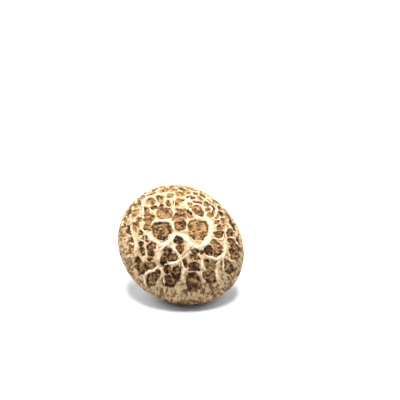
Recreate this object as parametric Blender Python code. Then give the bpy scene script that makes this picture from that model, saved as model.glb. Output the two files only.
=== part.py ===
"""A whole shiitake mushroom, picked and laid down: it rests on its cap's rim and on its cut stem.

The mushroom grew as one piece, so it is one solid. It is modelled upright in millimetres, with the
cap's axis on Z and the crown up, and is then tilted, flattened a little where it touches the
surface, and scaled to metres. Places on the cap are given by two numbers: the run, which is the
distance from the crown along the skin, and the bearing, which is the angle round the axis.
"""

import math
import random

import bmesh
import bpy
import numpy as np
from mathutils import Matrix, Vector
from mathutils.geometry import delaunay_2d_cdt

NAME = "shiitake_mushroom"
MM = 0.001
SEED = 27

# Cap: half widths, heights and the oval outline seen from above
CAP_R = 30.0
CROWN_H = 15.5
ROLL_R = 4.5
ROLL_H = 6.5
OVAL_SHARE, OVAL_BEARING = 0.070, 314.0
LOBE_SHARE, LOBE_BEARING = 0.012, -23.0

# Cracked skin: brown scales lie sunk between the raised pale net
SCALES = (
    (3.0, (85,)),
    (4.7, (255,)),
    (7.7, (92, 271)),
    (8.6, (6, 177)),
    (10.4, (64, 241)),
    (11.0, (88,)),
    (11.8, (125, 307)),
    (13.0, (252,)),
    (14.2, (53, 299)),
    (15.2, (71, 97, 168, 208, 235)),
    (16.2, (107, 123, 278, 329, 349)),
    (17.0, (90, 153, 186, 292)),
    (17.6, (42, 66, 217, 254)),
    (18.4, (34, 52, 132, 178, 340)),
    (19.1, (0, 9, 19, 60, 307)),
    (19.8, (41, 74, 194, 203, 265, 332)),
    (20.6, (27, 104, 118, 142, 158, 223)),
    (21.2, (51, 166, 320)),
    (22.3, (11, 20, 64, 73, 90, 127, 238)),
    (23.4, (31, 170, 186)),
    (24.5, (4, 98, 196, 209, 258, 285, 306)),
    (25.3, (150, 172, 352)),
    (26.3, (13, 107, 218, 236, 343)),
    (27.4, (55, 75, 90, 140, 327)),
    (28.6, (340, 351)),
    (29.6, (118, 159, 206, 358)),
)
MARGIN_RUN, GUARD_RUN, MARGIN_COUNT = 33.6, 39.0, 36
CREST, SHOULDER, PIT, RIM_PIT, DOME = 0.42, 0.20, -0.66, -0.40, -0.44
NET_HALF, NET_HALF_BIG, BIG_REACH = (0.50, 0.80), 1.15, 4.3
WALL, WALL_BIG = 0.45, 0.60
SCALE_R_MOST, RAGGED = 4.3, 0.13
SHOULDER_LEAST, EDGE_LEAST = 0.52, 0.66
SPLIT_LENGTH, WIGGLE = 2.9, 0.14
NET_FADE = (29.5, 34.0)
FIBRE = 0.16
ROLL_SHARES = (0.28, 0.54, 0.78, 1.0)

# Underside: the rolled margin's inner side, the flesh above the gills and the gills
LIP_R, LIP_H = 2.0, 2.2
LIP_TURNS = (math.radians(38.0), math.radians(75.0))
INNER_R = CAP_R - ROLL_R - LIP_R
FLESH = ((23.3, -1.0), (22.4, 1.2), (17.0, 2.8), (9.0, 2.4))
GILL_COUNT, GILL_THICK, GILL_ROOT, GILL_SUNK = 44, 0.66, 0.9, 0.8
GILL_EDGE = ((8.0, -2.6), (12.0, -3.7), (18.0, -3.9), (24.5, -3.0))
LONG_GILL_R, SHORT_GILL_R = 8.2, 15.0
LONG_STEPS, SHORT_STEPS = 4, 3

# Stem: its root is sunk in the flesh. STEM_R is share of the way down and radius, and the cut end
# has moved STEM_LEAN towards LEAN_BEARING
STEM_ROOT = 1.2
STEM_TOP = FLESH[-1][1] + STEM_ROOT
STEM_R = ((0.0, 9.4), (0.12, 9.1), (0.24, 8.0), (0.42, 6.5),
          (0.60, 5.9), (0.76, 6.1), (0.90, 6.9), (1.0, 7.3))
STEM_SIDES, STEM_RINGS = 28, 11
STEM_LEAN, LEAN_BEARING = 3.1, math.radians(106.0)
STEM_OVAL, STEM_FLUTE, FLUTES = 0.035, 0.28, 9
CUT_ROUND, CUT_SHARE = 0.5, 0.03

# How it lies: the cap's axis leans this far from upright
TILT = math.radians(38.0)
FLAT_CUT = 0.45


def clear_scene():
    for obj in list(bpy.data.objects):
        bpy.data.objects.remove(obj, do_unlink=True)


def principled(name, colour, roughness):
    material = bpy.data.materials.new(name)
    material.use_nodes = True
    shader = material.node_tree.nodes["Principled BSDF"]
    shader.inputs["Base Color"].default_value = (*colour, 1.0)
    shader.inputs["Roughness"].default_value = roughness
    shader.inputs["Metallic"].default_value = 0.0
    return material


def cap_section(steps=160):
    """Runs, radii and heights of the skin: a quarter ellipse to the widest level, then one to the lip."""
    turn = np.linspace(0.0, math.pi / 2, steps)
    r = np.concatenate([CAP_R * np.sin(turn), CAP_R - ROLL_R + ROLL_R * np.cos(turn[1:])])
    z = np.concatenate([CROWN_H * np.cos(turn), -ROLL_H * np.sin(turn[1:])])
    run = np.concatenate([[0.0], np.cumsum(np.hypot(np.diff(r), np.diff(z)))])
    return run, r, z


RUNS, RADII, HEIGHTS = cap_section()
WIDEST_RUN = float(np.interp(0.0, -HEIGHTS, RUNS))
LIP_RUN = float(RUNS[-1])


def outline(bearing):
    """How much wider than round the cap is at a bearing: an oval with a slight third lobe."""
    oval = OVAL_SHARE * math.cos(2 * (bearing - math.radians(OVAL_BEARING)))
    return oval + LOBE_SHARE * math.cos(3 * (bearing - math.radians(LOBE_BEARING)))


def turned(r, z, bearing, grow):
    """A point at a radius and height, pushed out by the outline where grow is 1."""
    wide = r * (1.0 + outline(bearing) * min(grow, 1.0) ** 2)
    return Vector((wide * math.cos(bearing), wide * math.sin(bearing), z))


def on_cap(run, bearing, lift=0.0):
    """A point on the skin, lifted along the section's normal."""
    step = 0.2
    r0, r1 = (float(np.interp(run + d, RUNS, RADII)) for d in (-step, step))
    z0, z1 = (float(np.interp(run + d, RUNS, HEIGHTS)) for d in (-step, step))
    length = math.hypot(r1 - r0, z1 - z0)
    r = float(np.interp(run, RUNS, RADII)) - lift * (z1 - z0) / length
    z = float(np.interp(run, RUNS, HEIGHTS)) + lift * (r1 - r0) / length
    return turned(r, z, bearing, run / WIDEST_RUN)


def on_map(point, lift=0.0):
    """A point of the flat map, where a place's distance from the middle is its run, put on the cap."""
    return on_cap(math.hypot(point[0], point[1]), math.atan2(point[1], point[0]), lift)


def map_point(run, degrees):
    return Vector((run * math.cos(math.radians(degrees)), run * math.sin(math.radians(degrees))))


def map_seeds():
    """The scales' middles, then an even ring for the pale margin and a guard ring past it."""
    seeds = [map_point(run, degrees) for run, row in SCALES for degrees in row]
    step = 360.0 / MARGIN_COUNT
    seeds += [map_point(MARGIN_RUN, step * k) for k in range(MARGIN_COUNT)]
    seeds += [map_point(GUARD_RUN, step * (k + 0.5)) for k in range(MARGIN_COUNT)]
    return seeds


def cells_of(seeds):
    """Corners on the map, and each cell's corners in order: the triangles' middles round each seed."""
    points, _, triangles = delaunay_2d_cdt(seeds, [], [], 0, 1e-6)[:3]
    corners = [sum((points[i] for i in tri), Vector((0.0, 0.0))) / 3.0 for tri in triangles]
    guard = [i for i, point in enumerate(points) if point.length > (MARGIN_RUN + GUARD_RUN) / 2]
    outer = {t for t, tri in enumerate(triangles) if any(i in guard for i in tri)}
    for t in outer:
        corners[t] = corners[t].normalized() * WIDEST_RUN
    cells = []
    for i, point in enumerate(points):
        if i in guard:
            continue
        ring = [t for t, tri in enumerate(triangles) if i in tri]
        ring.sort(key=lambda t: math.atan2(corners[t].y - point.y, corners[t].x - point.x))
        cells.append((point, ring))
    return corners, cells, outer


def net_fade(run):
    return 1.0 - min(max((run - NET_FADE[0]) / (NET_FADE[1] - NET_FADE[0]), 0.0), 1.0)


def sunk_rings(middle, ring, rng):
    """The net's shoulder and the sunk scale's ragged edge inside a cell, as map points with lifts."""
    out = middle.normalized()
    reach = sum((p - middle).length for p in ring) / len(ring)
    big = reach > BIG_REACH
    half, wall = (NET_HALF_BIG, WALL_BIG) if big else (rng.uniform(*NET_HALF), WALL)
    shoulder, edge = [], []
    for p in ring:
        arm = p - middle
        ragged = rng.uniform(1.0 - RAGGED, 1.0)
        near = min(max(arm.length - half, SHOULDER_LEAST * arm.length), SCALE_R_MOST * ragged)
        low = max(near - wall, EDGE_LEAST * near)
        rimward = max(arm.normalized().dot(out), 0.0)
        shoulder.append((middle + arm.normalized() * near, SHOULDER))
        edge.append((middle + arm.normalized() * low, PIT + RIM_PIT * rimward ** 2))
    return shoulder, edge


def cracked_skin(bm):
    """The cap's top as cells: crests along their borders, sunk scales inside, a plain margin."""
    rng = random.Random(SEED)
    corners, cells, outer = cells_of(map_seeds())
    crest = {}

    def crest_vert(key, point):
        if key not in crest:
            crest[key] = (bm.verts.new(on_map(point, CREST * net_fade(point.length))), point)
        return crest[key]

    for middle, ring in cells:
        border = []
        for a, b in zip(ring, ring[1:] + ring[:1]):
            border.append(crest_vert((a,), corners[a]))
            gap = corners[b] - corners[a]
            if gap.length > SPLIT_LENGTH and not (a in outer and b in outer):
                side = Vector((-gap.y, gap.x)) * (rng.uniform(-WIGGLE, WIGGLE) if a < b else 0.0)
                border.append(crest_vert((min(a, b), max(a, b)), (corners[a] + corners[b]) / 2 + side))
        rings = [[vert for vert, _ in border]]
        top = 0.0
        if middle.length < MARGIN_RUN - 1.0:
            top = DOME
            for level in sunk_rings(middle, [point for _, point in border], rng):
                rings.append([bm.verts.new(on_map(point, lift)) for point, lift in level])
        bridge(bm, rings, flip=True)
        close_ring(bm, rings[-1], on_map(middle, top), flip=True)
    return [crest[(t,)][0] for t in sorted(outer, key=lambda t: math.atan2(corners[t].y, corners[t].x))]


def bridge(bm, rings, flip=False):
    """Quads between each ring and the next, facing out where the rings run down or inwards."""
    for upper, lower in zip(rings, rings[1:]):
        for k in range(len(upper)):
            j = (k + 1) % len(upper)
            quad = (upper[k], lower[k], lower[j], upper[j])
            bm.faces.new(quad[::-1] if flip else quad)


def close_ring(bm, ring, point, flip=False):
    """A fan from a ring to one point."""
    tip = bm.verts.new(point)
    for k in range(len(ring)):
        tri = (ring[k], tip, ring[(k + 1) % len(ring)])
        bm.faces.new(tri[::-1] if flip else tri)


def margin_and_flesh(bm, rim):
    """The rolled margin with its fibres, its inner side, and the flesh that the gills hang from."""
    rng = random.Random(SEED + 1)
    bearings = [math.atan2(v.co.y, v.co.x) for v in rim]
    fibres = [rng.uniform(-FIBRE, FIBRE) for _ in rim]
    rings = [rim]
    for share in ROLL_SHARES:
        run = WIDEST_RUN + (LIP_RUN - WIDEST_RUN) * share
        rings.append([bm.verts.new(on_cap(run, b, f)) for b, f in zip(bearings, fibres)])
    section = [(CAP_R - ROLL_R - LIP_R * math.sin(a), -ROLL_H + LIP_H * (1 - math.cos(a)))
               for a in LIP_TURNS]
    for r, z in section + list(FLESH):
        rings.append([bm.verts.new(turned(r, z, b, r / INNER_R)) for b in bearings])
    bridge(bm, rings)
    close_ring(bm, rings[-1], (0.0, 0.0, FLESH[-1][1]))


def mesh_object(name, bm, collection):
    bmesh.ops.recalc_face_normals(bm, faces=bm.faces)
    mesh = bpy.data.meshes.new(name)
    bm.to_mesh(mesh)
    bm.free()
    obj = bpy.data.objects.new(name, mesh)
    collection.objects.link(obj)
    return obj


def make_cap(collection):
    bm = bmesh.new()
    margin_and_flesh(bm, cracked_skin(bm))
    return mesh_object(NAME, bm, collection)


def flesh_height(r):
    radii, heights = zip(*sorted(FLESH))
    return float(np.interp(r, radii, heights))


def make_gill(k, inner, steps, bearing, collection):
    """An upright radial blade: its root is sunk in the flesh and its lower edge is arched."""
    bm = bmesh.new()
    wide = 1.0 + outline(bearing)
    side = Vector((-math.sin(bearing), math.cos(bearing), 0.0)) * (GILL_THICK / 2)
    edge_r, edge_z = zip(*GILL_EDGE)
    rings = []
    for r in np.linspace(inner, INNER_R * wide + GILL_SUNK, steps):
        base = Vector((r * math.cos(bearing), r * math.sin(bearing), 0.0))
        low = Vector((0.0, 0.0, float(np.interp(r, edge_r, edge_z))))
        high = Vector((0.0, 0.0, flesh_height(min(r / wide, FLESH[1][0])) + GILL_ROOT))
        corners = (base + side + high, base - side + high, base - side + low, base + side + low)
        rings.append([bm.verts.new(corner) for corner in corners])
    bridge(bm, rings)
    bm.faces.new(rings[0])
    bm.faces.new(rings[-1])
    return mesh_object(f"gill_{k:03d}", bm, collection)


def make_gills(collection):
    """Long gills from the stem to the margin, with a short one in each gap."""
    step = 2 * math.pi / (2 * GILL_COUNT)
    for k in range(2 * GILL_COUNT):
        long_one = k % 2 == 0
        inner = LONG_GILL_R if long_one else SHORT_GILL_R
        make_gill(k, inner, LONG_STEPS if long_one else SHORT_STEPS, k * step, collection)


def stem_foot(rim_low):
    """Height at which the stem's cut edge meets the plane that the tilted rim stands on."""
    end_r = STEM_R[-1][1] * (1.0 - STEM_OVAL) - CUT_ROUND
    reach = STEM_LEAN * math.sin(LEAN_BEARING) - end_r
    return (rim_low - reach * math.sin(TILT)) / math.cos(TILT)


def lean_at(share):
    """Sideways place of the stem's middle: nothing at the gills, growing with the square of the share."""
    return Vector((math.cos(LEAN_BEARING), math.sin(LEAN_BEARING))) * STEM_LEAN * share * share


def make_stem(foot, collection):
    """A leaning, slightly fluted stalk with a waist, flared where it was cut."""
    rng = random.Random(SEED + 2)
    bm = bmesh.new()
    shares, radii = zip(*STEM_R)
    phase = rng.uniform(0, math.tau)
    rings = []
    for t in list(np.linspace(0.0, 1.0 - CUT_SHARE, STEM_RINGS)) + [1.0]:
        lean = lean_at(t)
        trim = CUT_ROUND if t == 1.0 else 0.0
        ring = []
        for k in range(STEM_SIDES):
            a = math.tau * k / STEM_SIDES
            flute = STEM_FLUTE * math.sin(FLUTES * a + phase + 2.0 * t) * math.sin(math.pi * t)
            r = float(np.interp(t, shares, radii)) * (1 + STEM_OVAL * math.cos(2 * a)) + flute - trim
            z = STEM_TOP + (foot - STEM_TOP) * t
            ring.append(bm.verts.new((r * math.cos(a) + lean.x, r * math.sin(a) + lean.y, z)))
        rings.append(ring)
    bridge(bm, rings)
    close_ring(bm, rings[-1], (lean_at(1.0).x, lean_at(1.0).y, foot + CUT_ROUND))
    close_ring(bm, rings[0], (0.0, 0.0, STEM_TOP), flip=True)
    return mesh_object("stem", bm, collection)


def join(obj, repeats):
    """One Boolean union of the cap with the stem and every gill, applied."""
    union = obj.modifiers.new("Grown_Together", "BOOLEAN")
    union.operation = "UNION"
    union.operand_type = "COLLECTION"
    union.collection = repeats
    union.solver = "MANIFOLD"
    graph = bpy.context.evaluated_depsgraph_get()
    joined = bpy.data.meshes.new_from_object(obj.evaluated_get(graph))
    obj.modifiers.remove(union)
    obj.data = joined
    for item in list(repeats.objects):
        bpy.data.objects.remove(item, do_unlink=True)
    bpy.data.collections.remove(repeats)


def lay_down(obj):
    """Tilt the mushroom, flatten it where it rests, stand it on z = 0 and scale it to metres."""
    bm = bmesh.new()
    bm.from_mesh(obj.data)
    bm.transform(Matrix.Rotation(TILT, 4, "X"))
    level = min(v.co.z for v in bm.verts) + FLAT_CUT
    geometry = bm.verts[:] + bm.edges[:] + bm.faces[:]
    bmesh.ops.bisect_plane(bm, geom=geometry, plane_co=(0, 0, level), plane_no=(0, 0, 1), clear_inner=True)
    open_edges = [edge for edge in bm.edges if edge.is_boundary]
    bmesh.ops.holes_fill(bm, edges=open_edges)
    bmesh.ops.triangulate(bm, faces=[f for f in bm.faces if len(f.verts) > 3])
    xs, ys = [v.co.x for v in bm.verts], [v.co.y for v in bm.verts]
    middle = Vector(((min(xs) + max(xs)) / 2, (min(ys) + max(ys)) / 2, level))
    bm.transform(Matrix.Scale(MM, 4) @ Matrix.Translation(-middle))
    bm.to_mesh(obj.data)
    bm.free()


def rim_low_point(obj):
    """Lowest height of the cap once it is tilted."""
    return min(v.co.y * math.sin(TILT) + v.co.z * math.cos(TILT) for v in obj.data.vertices)


def main():
    clear_scene()
    parts = bpy.data.collections.new(NAME + "_parts")
    repeats = bpy.data.collections.new(NAME + "_repeats")
    for collection in (parts, repeats):
        bpy.context.scene.collection.children.link(collection)
    mushroom = make_cap(parts)
    make_stem(stem_foot(rim_low_point(mushroom)), repeats)
    make_gills(repeats)
    join(mushroom, repeats)
    lay_down(mushroom)
    mushroom.data.materials.clear()
    mushroom.data.materials.append(principled("Mushroom_Skin", (0.47, 0.33, 0.19), 0.72))
    mushroom.data.shade_smooth()
    mushroom.data.set_sharp_from_angle(angle=math.radians(40))


main()
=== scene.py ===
"""The looks of a whole shiitake mushroom that lies on its cap's rim and on its cut stem.

The mushroom is worked out upright in millimetres, with the cap's axis on Z and the crown up. It is
then tilted, moved to where it lies and scaled to metres. A place on the cap's skin is a point of a
flat map, whose distance from the middle is the run along the skin from the crown, and whose angle
is the bearing round the axis.
"""

import math

import bpy
import numpy as np
from mathutils import Matrix, Vector


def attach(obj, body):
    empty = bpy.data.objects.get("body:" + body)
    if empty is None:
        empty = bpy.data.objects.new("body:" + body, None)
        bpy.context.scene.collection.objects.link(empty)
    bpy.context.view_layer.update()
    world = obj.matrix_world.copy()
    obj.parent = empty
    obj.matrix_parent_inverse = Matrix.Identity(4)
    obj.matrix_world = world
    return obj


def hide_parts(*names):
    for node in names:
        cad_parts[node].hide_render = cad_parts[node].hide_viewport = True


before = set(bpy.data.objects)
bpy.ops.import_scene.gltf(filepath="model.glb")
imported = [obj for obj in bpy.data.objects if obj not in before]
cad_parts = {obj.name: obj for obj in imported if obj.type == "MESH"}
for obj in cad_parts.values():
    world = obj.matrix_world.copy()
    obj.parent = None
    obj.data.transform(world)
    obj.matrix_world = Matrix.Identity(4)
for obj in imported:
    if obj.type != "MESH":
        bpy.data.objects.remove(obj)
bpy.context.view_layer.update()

NODE = "shiitake_mushroom"
MM = 0.001
SEED = 27

# Cap: half widths, heights, the oval outline seen from above, the lip and the flesh over the gills
CAP_R, CROWN_H = 30.0, 15.5
ROLL_R, ROLL_H = 4.5, 6.5
OVAL_SHARE, OVAL_BEARING = 0.070, math.radians(314.0)
LOBE_SHARE, LOBE_BEARING = 0.012, math.radians(-23.0)
LIP_R, LIP_H = 2.0, 2.2
INNER_R = CAP_R - ROLL_R - LIP_R
FLESH = ((23.3, -1.0), (22.4, 1.2), (17.0, 2.8), (9.0, 2.4), (2.0, 2.4))
CAP_COLUMNS, SKIN_RINGS, LIP_RINGS, FLESH_RINGS = 640, 114, 9, 18

# Runs in mm, counted from the lip, over which the relief ends and the colours under the lip begin;
# the darker lip colour is partly the rim's own brown and partly painted shade where it curves under
EASE_SPAN, LIP_SPAN, INNER_SPAN = (-2.0, 0.0), (-8.0, -2.0), (-1.6, 0.2)

# How it lies: the axis leans by TILT, and the cap's middle at its widest level is at CAP_CENTRE
TILT = math.radians(38.0)
CAP_CENTRE = np.array([-0.2463, -0.1471, 21.1642])

# The camera: its height over the horizon, its distance in mm, and picture pixels for each mm there
ELEVATION = math.radians(27.0)
DISTANCE = 453.0
PIXELS_PER_MM = 2.098
PICTURE = 400.0
SENSOR = 36.0
AIM_RIGHT, AIM_UP = 9.43, 20.95

# Search of the map for a picture point: a coarse lattice, then half widths in mm of finer ones, and
# a distance beyond any on the map
SEARCH_RUNS = np.linspace(0.3, 35.0, 120)
SEARCH_BEARINGS = np.linspace(0, math.tau, 360, endpoint=False)
SEARCH_WIDTHS = (0.4, 0.12, 0.04)
FAR = 1e3

# Cracked skin, lifts in mm: the net's crest and the open skin beside it; a scale's border, what its
# side towards the rim adds, its middle, and the crack where two scales meet
CREST, SHOULDER = 0.42, 0.04
PIT, RIM_PIT, DOME, CRACK = -0.55, -0.35, -0.30, -0.25

# Scales: growth by the half size, the power that rounds the corners, the longest half side on the
# map, and the half sizes over which a scale turns from small to large
GROW, GROW_SIZE, GROW_LEAST = 0.50, 2.2, 0.35
CORNER_POWER = 2.7
REACH_MOST = 6.0
LARGE_SPAN = (0.9, 2.1)

# Net between scales: half width in mm, how it varies, and how it widens beside a pale scale
NET_HALF, NET_VARY, NET_CELL = 0.08, 0.20, 4.5
NET_PALER = 0.55

# Noise that bends borders, frays them, and makes lumps and knobs: its amount and its cell in mm
WARP, WARP_CELL = 0.74, 2.4
RAGGED, RAGGED_CELL = 0.32, 0.8
LUMP, LUMP_CELL = 0.42, 2.1
KNOB, KNOB_CELL = 0.20, 0.9

# Spans in mm: inwards from a scale's border, half the way to the next scale, the open net's width
WALL_SPAN, MIDDLE_SPAN, FOLD_SPAN = (-0.10, 0.26), (0.0, 1.5), (0.0, 0.30)
CRACK_SPAN, MEETING_SPAN = (0.02, 0.30), (0.05, 0.55)
THIN_NET, WIDE_NET, OPEN_NET = (0.1, 0.8), (1.8, 3.6), (1.4, 3.4)

# Amounts by a scale's darkness, size or side towards the rim: where that is 0, and what 1 adds;
# those for pits and creases set painted shade. Then how dark the painted shade in slits is, and the
# darkness of a scale over which it turns into one
SUNK_BY_DARK, PIT_SHADE_BY_DARK, BROWN_BY_DARK = (0.60, 0.80), (0.10, 0.60), (-0.05, 0.98)
KNOBS_BY_SIZE, FINER_BY_SIZE, BLOTCH_BY_SIZE = (0.4, 0.6), (0.45, 0.55), (0.35, 0.45)
CREASE_SHADE_BY_SIDE, CREASE_SHADE_WIDTH = (0.10, 0.90), (0.40, 1.2)
SLIT_SHADE, SLIT_DARK = 0.85, (0.82, 0.95)

# Runs over which the net fades out and the margin sets in, both further out at the cap's back
NET_FADE = (30.0, 34.0)
MARGIN = (28.5, 32.5)
BACK_SPAN, BACK_FURTHER = (-0.1, 0.6), 3.0

# Margin: lifts in mm of fibres, lumps, pale and dark flecks, and how noise is squeezed along them
FIBRE_LIFT, LUMP_LIFT, PALE_LIFT, FLECK_LIFT = 0.07, 0.12, 0.08, -0.10
FIBRE_SQUEEZE, FLECK_SQUEEZE = 0.10, 0.72

# Scales on the back: spacing along their spiral, furthest run, how flat they are seen, and gap; then
# half sides and darkness, each with how much it varies
BACK_SPACING, BACK_REACH = 2.6, 36.0
BACK_FACING, BACK_CLEAR = 0.55, 3.1
BACK_LONG, BACK_SHORT, BACK_DARK = (1.75, 0.45), (1.45, 0.35), (0.5, 0.2)

# Scales: place in the picture (x, y in pixels), half length and half width in mm as seen from the
# camera, turn of the long side in degrees, and darkness. They were read one by one, from the lower
# left of the cap to its upper right.
SCALES = (
    (132.1, 240.1, 1.25, 0.8, 60, 0.7), (131.0, 249.4, 1.75, 1.3, 80, 0.6),
    (140.2, 243.4, 1.15, 0.85, 120, 0.7), (142.6, 251.2, 2.4, 1.0, -73, 0.75),
    (151.1, 247.0, 2.2, 1.4, 50, 0.7), (151.1, 253.8, 1.45, 1.3, 90, 0.65),
    (150.0, 258.6, 1.5, 0.75, 0, 0.75), (149.7, 266.2, 2.6, 2.05, 0, 0.6),
    (139.8, 265.3, 4.15, 1.35, -70, 0.75), (157.2, 274.9, 2.5, 1.35, 80, 0.7),
    (151.0, 280.0, 3.2, 2.2, 85, 0.65), (167.7, 269.1, 2.0, 1.55, 110, 0.75),
    (176.5, 272.8, 2.95, 1.85, 75, 0.8), (169.0, 281.3, 2.7, 2.55, 0, 0.82),
    (177.8, 280.3, 1.15, 0.45, 25, 0.8), (165.3, 252.1, 1.65, 1.25, 100, 0.55),
    (170.5, 250.7, 0.95, 0.8, 0, 0.85), (171.8, 257.4, 2.5, 1.6, 0, 0.65),
    (163.3, 260.6, 2.1, 1.7, 110, 0.7), (177.0, 240.1, 2.65, 1.75, -10, 0.6),
    (180.2, 249.3, 1.85, 1.65, 0, 0.6), (144.3, 237.6, 1.05, 0.95, 0, 0.7),
    (147.0, 240.7, 1.05, 0.45, -30, 0.4), (128.6, 261.9, 1.55, 1.05, 110, 0.35),
    (127.3, 266.0, 0.55, 0.45, 0, 0.85),
    (195.5, 250.7, 1.5, 1.3, 0, 0.7), (202.2, 252.9, 1.0, 0.7, -15, 0.8),
    (194.8, 257.8, 2.25, 1.2, -5, 0.5), (184.6, 264.9, 1.9, 1.35, -75, 0.65),
    (193.6, 265.0, 1.9, 1.25, 0, 0.65), (195.3, 269.3, 2.6, 0.6, 5, 0.95),
    (206.6, 264.5, 2.35, 1.35, -75, 0.6), (213.8, 262.0, 1.35, 1.15, 0, 0.55),
    (212.5, 266.4, 1.65, 1.3, 90, 0.35), (210.0, 276.1, 3.1, 2.95, -60, 0.5),
    (193.3, 283.0, 4.25, 3.0, -82, 0.75), (227.9, 266.9, 3.1, 2.05, -60, 0.7),
    (209.5, 251.2, 2.3, 1.7, -55, 0.55), (217.5, 246.0, 1.75, 1.35, 0, 0.6),
    (217.9, 253.6, 1.9, 1.8, 0, 0.6), (214.1, 242.7, 1.35, 1.15, -30, 0.4),
    (231.6, 242.9, 2.0, 1.1, -60, 0.5), (231.8, 251.4, 1.7, 1.05, -20, 0.65),
    (237.1, 248.6, 1.35, 0.95, -60, 0.6), (236.2, 256.8, 1.75, 1.25, 0, 0.6),
    (238.2, 240.5, 1.75, 0.6, -72, 0.9),
    (161.6, 230.6, 4.25, 3.8, 0, 0.6), (180.1, 225.6, 2.65, 1.9, 0, 0.45),
    (179.4, 217.1, 2.9, 1.6, 0, 0.4), (180.7, 210.7, 2.0, 0.8, 5, 0.65),
    (164.6, 213.7, 3.3, 2.2, 10, 0.4), (148.2, 218.5, 2.3, 2.2, 0, 0.4),
    (148.2, 227.6, 2.0, 1.55, -20, 0.4), (137.4, 224.3, 1.25, 0.75, -60, 0.6),
    (134.3, 227.6, 2.2, 0.55, -75, 0.7), (129.1, 231.1, 2.4, 0.7, -70, 0.85),
    (125.1, 220.2, 1.05, 0.6, -50, 0.6), (124.2, 225.3, 0.95, 0.4, -50, 0.8),
    (139.1, 220.1, 1.1, 0.8, 0, 0.5), (135.0, 212.6, 1.45, 1.3, 0, 0.35),
    (137.4, 204.8, 1.65, 0.95, 50, 0.35), (131.3, 206.3, 1.65, 0.45, 48, 0.95),
    (128.0, 206.7, 1.05, 0.3, 50, 0.6), (124.1, 212.6, 0.75, 0.4, 60, 0.6),
    (145.7, 210.2, 1.3, 1.25, 0, 0.65), (153.8, 207.7, 1.4, 1.1, -15, 0.6),
    (160.4, 206.7, 1.15, 1.25, 0, 0.65), (150.2, 201.1, 1.6, 1.3, 0, 0.5),
    (159.8, 199.3, 1.35, 1.55, 0, 0.4), (168.5, 202.8, 1.45, 0.8, 100, 0.7),
    (169.8, 196.0, 1.65, 0.9, 0, 0.55), (176.1, 203.8, 1.15, 0.95, -20, 0.45),
    (180.1, 201.0, 1.45, 0.8, -10, 0.5), (183.6, 200.3, 0.65, 0.45, 0, 0.95),
    (180.5, 193.7, 2.1, 0.85, -5, 0.5), (173.1, 190.6, 1.55, 0.65, 5, 0.4),
    (164.6, 189.8, 2.1, 0.65, 8, 0.35), (155.3, 189.7, 1.65, 0.4, 22, 0.95),
    (181.6, 188.4, 1.45, 0.4, -10, 0.8), (141.1, 232.2, 1.05, 0.95, 90, 0.55),
    (198.9, 229.7, 4.55, 4.15, 0, 0.42), (198.7, 210.7, 2.9, 1.7, -35, 0.5),
    (190.1, 213.9, 1.85, 1.35, -25, 0.55), (190.6, 205.7, 1.05, 1.15, 0, 0.45),
    (195.8, 201.6, 1.65, 0.35, -5, 0.9), (199.6, 202.8, 1.05, 0.6, -40, 0.45),
    (191.0, 197.4, 2.2, 0.4, -8, 0.95), (195.0, 193.2, 1.45, 0.35, -15, 0.9),
    (200.0, 198.5, 1.15, 0.6, -25, 0.4), (203.1, 195.4, 1.55, 0.4, -25, 0.95),
    (211.9, 204.6, 3.1, 0.45, -57, 0.95), (206.2, 204.4, 1.35, 0.9, -30, 0.45),
    (209.2, 208.9, 0.75, 0.6, 0, 0.7), (211.2, 214.4, 1.15, 1.15, 0, 0.5),
    (214.4, 212.3, 1.25, 0.5, -70, 0.5), (207.1, 210.2, 0.7, 0.7, 0, 0.4),
    (220.9, 214.1, 1.35, 0.9, -50, 0.55), (216.4, 216.3, 0.85, 0.75, 0, 0.3),
    (217.2, 222.4, 1.1, 0.95, 0, 0.35), (223.2, 221.1, 1.1, 1.0, 0, 0.6),
    (225.3, 226.7, 0.85, 1.15, 0, 0.4), (219.7, 227.9, 1.35, 0.95, 0, 0.5),
    (220.3, 234.6, 2.05, 1.7, 0, 0.45), (229.9, 232.8, 1.85, 1.35, -60, 0.5),
    (232.4, 224.5, 3.1, 0.55, -68, 0.95),
)

# Pale ridges of the net: x, y, x, y and so on of picture points along each, read one by one
BROAD_RIDGES = (
    (146.1, 234.2, 153.5, 239.8, 160.4, 243.9, 166.4, 243.5, 171.1, 238.8, 174.8, 234.2,
     180.3, 235.1, 185.9, 238.8, 189.6, 243.5, 192.3, 245.3),
    (193.3, 216.6, 200.7, 217.6, 207.1, 220.3, 210.8, 226.8, 210.8, 234.2, 207.1, 240.7,
     202.5, 245.3, 196.0, 247.2, 191.4, 247.2),
)
MIDDLE_RIDGES = (
    (191.4, 247.2, 186.8, 253.6, 181.2, 259.2, 176.6, 262.9, 171.1, 263.3, 164.6, 264.7),
    (150.7, 226.8, 154.4, 221.3, 161.8, 220.8, 169.2, 221.3, 173.8, 226.8, 174.8, 232.4),
    (142.4, 221.3, 143.3, 213.9, 142.4, 206.5, 144.2, 200.0, 149.8, 196.3, 158.1, 194.9,
     165.5, 195.4),
    (193.3, 216.6, 191.4, 212.0, 186.8, 205.5, 185.9, 201.8, 189.6, 197.2),
    (202.5, 218.5, 205.3, 213.9, 202.5, 207.4, 197.0, 204.6, 193.3, 205.5),
    (223.8, 238.8, 224.7, 245.3, 223.8, 252.7, 220.1, 257.3, 214.5, 259.2, 208.1, 257.3,
     203.4, 258.3),
    (218.2, 259.2, 216.4, 267.5, 216.4, 274.9, 218.2, 282.3),
    (200.7, 258.3, 202.5, 265.7, 201.6, 273.1, 202.5, 281.4),
    (181.2, 259.2, 183.1, 267.5, 183.1, 274.9, 184.0, 281.4),
    (159.0, 266.6, 153.5, 270.3, 147.0, 273.1, 144.2, 279.5, 147.0, 287.9),
    (173.8, 234.2, 172.0, 241.6, 173.8, 249.0, 178.5, 254.6, 181.2, 259.2),
    (130.4, 226.8, 132.2, 234.2, 135.5, 241.0, 136.0, 249.0, 134.5, 257.0),
)
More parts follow.
